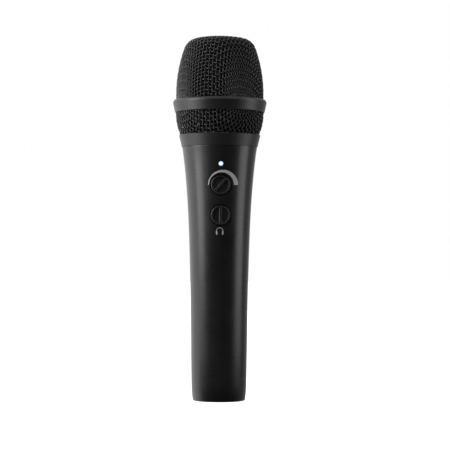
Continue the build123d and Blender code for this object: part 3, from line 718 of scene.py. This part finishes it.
GOLD_FILM = machined("gold_film", (0.85, 0.66, 0.32), 0.15, depth=0.0005 * MM)
STATUS_LIGHT = status_light("status_light")
INK_GREY = ink("grey_ink", (0.48, 0.48, 0.49))

FINISHES = {
    HANDLE_PAINT: ["handle_shell"],
    HEAD_PAINT: ["grille_band"],
    COLLAR_PAINT: ["grille_collar"],
    KNOB_PLASTIC: ["gain_knob", "headphone_knob"],
    END_PLATE_PLASTIC: ["end_plate"],
    CHASSIS_PLASTIC: ["inner_chassis", "capsule_carrier", "gain_pot_case", "headphone_pot_case"],
    BLACK_RUBBER: ["collar_gasket", "shock_mount"],
    RED_RUBBER: ["capsule_lead_red"],
    BLACK_LEAD: ["capsule_lead_black", "board_capacitors"],
    WHITE_NYLON: ["lead_connector", "capsule_spacer", "capsule_insulator", "gain_pot_shaft",
                  "headphone_pot_shaft"],
    CHIP_EPOXY: ["audio_codec_chip", "headphone_amplifier_chip", "headphone_jack", "usb_socket_tongue"],
    TRACK_CARBON: ["gain_pot_track", "headphone_pot_track"],
    FOAM: ["capsule_dust_felt"],
    BOARD_GREEN: ["main_board", "capsule_board"],
    SCREW_STEEL: ["end_plate_screws", "board_screws", "carrier_screws"],
    SOCKET_STEEL: ["usb_socket_shell", "clock_crystal", "gain_pot_bushing", "headphone_pot_bushing"],
    CAPSULE_ALUMINIUM: ["capsule_can"],
    CONTACT_BRASS: ["jack_contacts", "capsule_diaphragm_ring", "capsule_backplate", "gain_pot_wiper",
                    "headphone_pot_wiper"],
    GOLD_FILM: ["capsule_diaphragm"],
    STATUS_LIGHT: ["status_light_pipe", "status_led"],
}
for finish, names in FINISHES.items():
    for name in names:
        NODES[name].data.materials.clear()
        NODES[name].data.materials.append(finish)

# ---------------------------------------------------------------- pieces
grille("upper_grille", UPPER_WARP_AZIMUTH, dome_with_skirt)
grille("lower_grille", LOWER_WARP_AZIMUTH, bowl_with_bottom)
foam("upper_foam_liner")
foam("lower_foam_liner")
level_mark()
headphone_mark()
shoulder_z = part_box("collar_gasket")[0].z
neck_top_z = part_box("handle_shell")[1].z
thread("neck_thread", NECK_R, shoulder_z + 1.6 * MM, neck_top_z - 1.0 * MM, "handle",
       HANDLE_PAINT, inwards=False, phase=0.0)
collar_low, collar_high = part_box("grille_collar")
thread("collar_thread", COLLAR_BORE_R, collar_low.z + 2.2 * MM, collar_high.z - 1.0 * MM, "grille_head",
       HEAD_PAINT, inwards=True, phase=0.5)


# ---------------------------------------------------------------- stage, light and camera
def softbox(name, azimuth, distance, size, height, radiance, flat=False):
    """A rectangular light that faces the axis, or lies flat and faces up. Azimuth 0 is on the camera's
    side and 90 on the right."""
    light = bpy.data.lights.new(name, "AREA")
    light.shape = "RECTANGLE"
    light.size, light.size_y = size
    light.energy = radiance * math.pi * light.size * light.size_y
    lamp = bpy.data.objects.new(name, light)
    bpy.context.scene.collection.objects.link(lamp)
    a = math.radians(azimuth)
    lamp.location = (distance * math.sin(a), -distance * math.cos(a), height)
    lamp.rotation_euler = (math.pi if flat else math.pi / 2, 0, a)
    lamp.visible_camera = False


def pale_floor():
    """A white floor that only the camera sees. The flat reflectors stand for the light it sends up."""
    floor = mesh_piece("floor", [(-4, -4, 0), (4, -4, 0), (4, 4, 0), (-4, 4, 0)], [[0, 1, 2, 3]])
    floor.location.z = -0.0001
    material = bpy.data.materials.new("pale_floor")
    material.use_nodes = True
    shader = material.node_tree.nodes["Principled BSDF"]
    shader.inputs["Base Color"].default_value = (0.75, 0.75, 0.75, 1)
    shader.inputs["Roughness"].default_value = 0.9
    shader.inputs["Emission Color"].default_value = (1, 1, 1, 1)
    shader.inputs["Emission Strength"].default_value = 0.95
    floor.data.materials.append(material)
    floor.visible_glossy = floor.visible_diffuse = floor.visible_shadow = False


def world():
    """White where the camera looks. The object sees it dark in front, and pale above and behind, most of
    all on the left."""
    made = bpy.data.worlds.new("studio")
    bpy.context.scene.world = made
    made.use_nodes = True
    tree = made.node_tree
    background = tree.nodes["Background"]
    background.inputs["Color"].default_value = (1, 1, 1, 1)
    way = put(tree, "ShaderNodeTexCoord").outputs["Generated"]
    axes = put(tree, "ShaderNodeSeparateXYZ")
    tree.links.new(way, axes.inputs[0])
    x, y, z = axes.outputs

    def ramp(value, low, high, from_low, from_high):
        """A smooth change from low to high."""
        out = spread_of(tree, value, low, high, from_low, from_high)
        out.node.interpolation_type = "SMOOTHSTEP"
        return out

    def combined(operation, a, b):
        """Two values put together."""
        node = put(tree, "ShaderNodeMath", operation=operation)
        tree.links.new(a, node.inputs[0])
        tree.links.new(b, node.inputs[1])
        return node.outputs[0]

    back_wall = ramp(y, WORLD_FRONT, 1.0, -0.30, 0.25)
    left_to_right = spread_of(tree, x, 1.6, 0.15, -1.0, 1.0)
    behind = combined("MULTIPLY", back_wall, left_to_right)
    above = ramp(z, 0.0, 0.95, 0.25, 0.9)
    glow = combined("MAXIMUM", behind, above)
    seen = put(tree, "ShaderNodeLightPath").outputs["Is Camera Ray"]
    shown = put(tree, "ShaderNodeMix", data_type="FLOAT")
    tree.links.new(seen, shown.inputs[0])
    tree.links.new(glow, shown.inputs[2])
    shown.inputs[3].default_value = 1.0
    tree.links.new(shown.outputs[0], background.inputs["Strength"])


def camera():
    """The camera, turned towards its aim and rolled a little."""
    lens = bpy.data.cameras.new("camera")
    lens.lens, lens.sensor_width = LENS, SENSOR
    lens.clip_start, lens.clip_end = 0.05, 20
    shot = bpy.data.objects.new("camera", lens)
    bpy.context.scene.collection.objects.link(shot)
    yaw = math.radians(CAMERA_YAW)
    right = Vector((math.cos(yaw), -math.sin(yaw), 0))
    back = Vector((-math.sin(yaw), -math.cos(yaw), 0))
    shot.location = back * CAMERA_DISTANCE + Vector((0, 0, CAMERA_HEIGHT))
    aim = right * CAMERA_AIM_RIGHT + Vector((0, 0, CAMERA_AIM_HEIGHT))
    facing = (aim - shot.location).to_track_quat("-Z", "Y").to_matrix()
    roll = Matrix.Rotation(math.radians(CAMERA_ROLL), 3, "Z")
    shot.rotation_mode = "QUATERNION"
    shot.rotation_quaternion = (facing @ roll).to_quaternion()
    bpy.context.scene.camera = shot


pale_floor()
world()
softbox("left_softbox", -74, 0.42, (0.19, 0.44), 0.285, 6.4)
softbox("right_softbox", 80, 0.50, (0.28, 0.50), 0.265, 2.6)
softbox("left_front_softbox", -52, 0.22, (0.08, 0.20), 0.21, 2.4)
softbox("left_reflector", -76, 0.32, (0.30, 0.16), 0.0, 2.0, flat=True)
softbox("right_reflector", 74, 0.33, (0.26, 0.16), 0.0, 1.5, flat=True)
softbox("front_reflector", 0, 0.20, (0.50, 0.30), 0.0, 0.10, flat=True)
camera()
bpy.context.scene.view_settings.view_transform = "Standard"
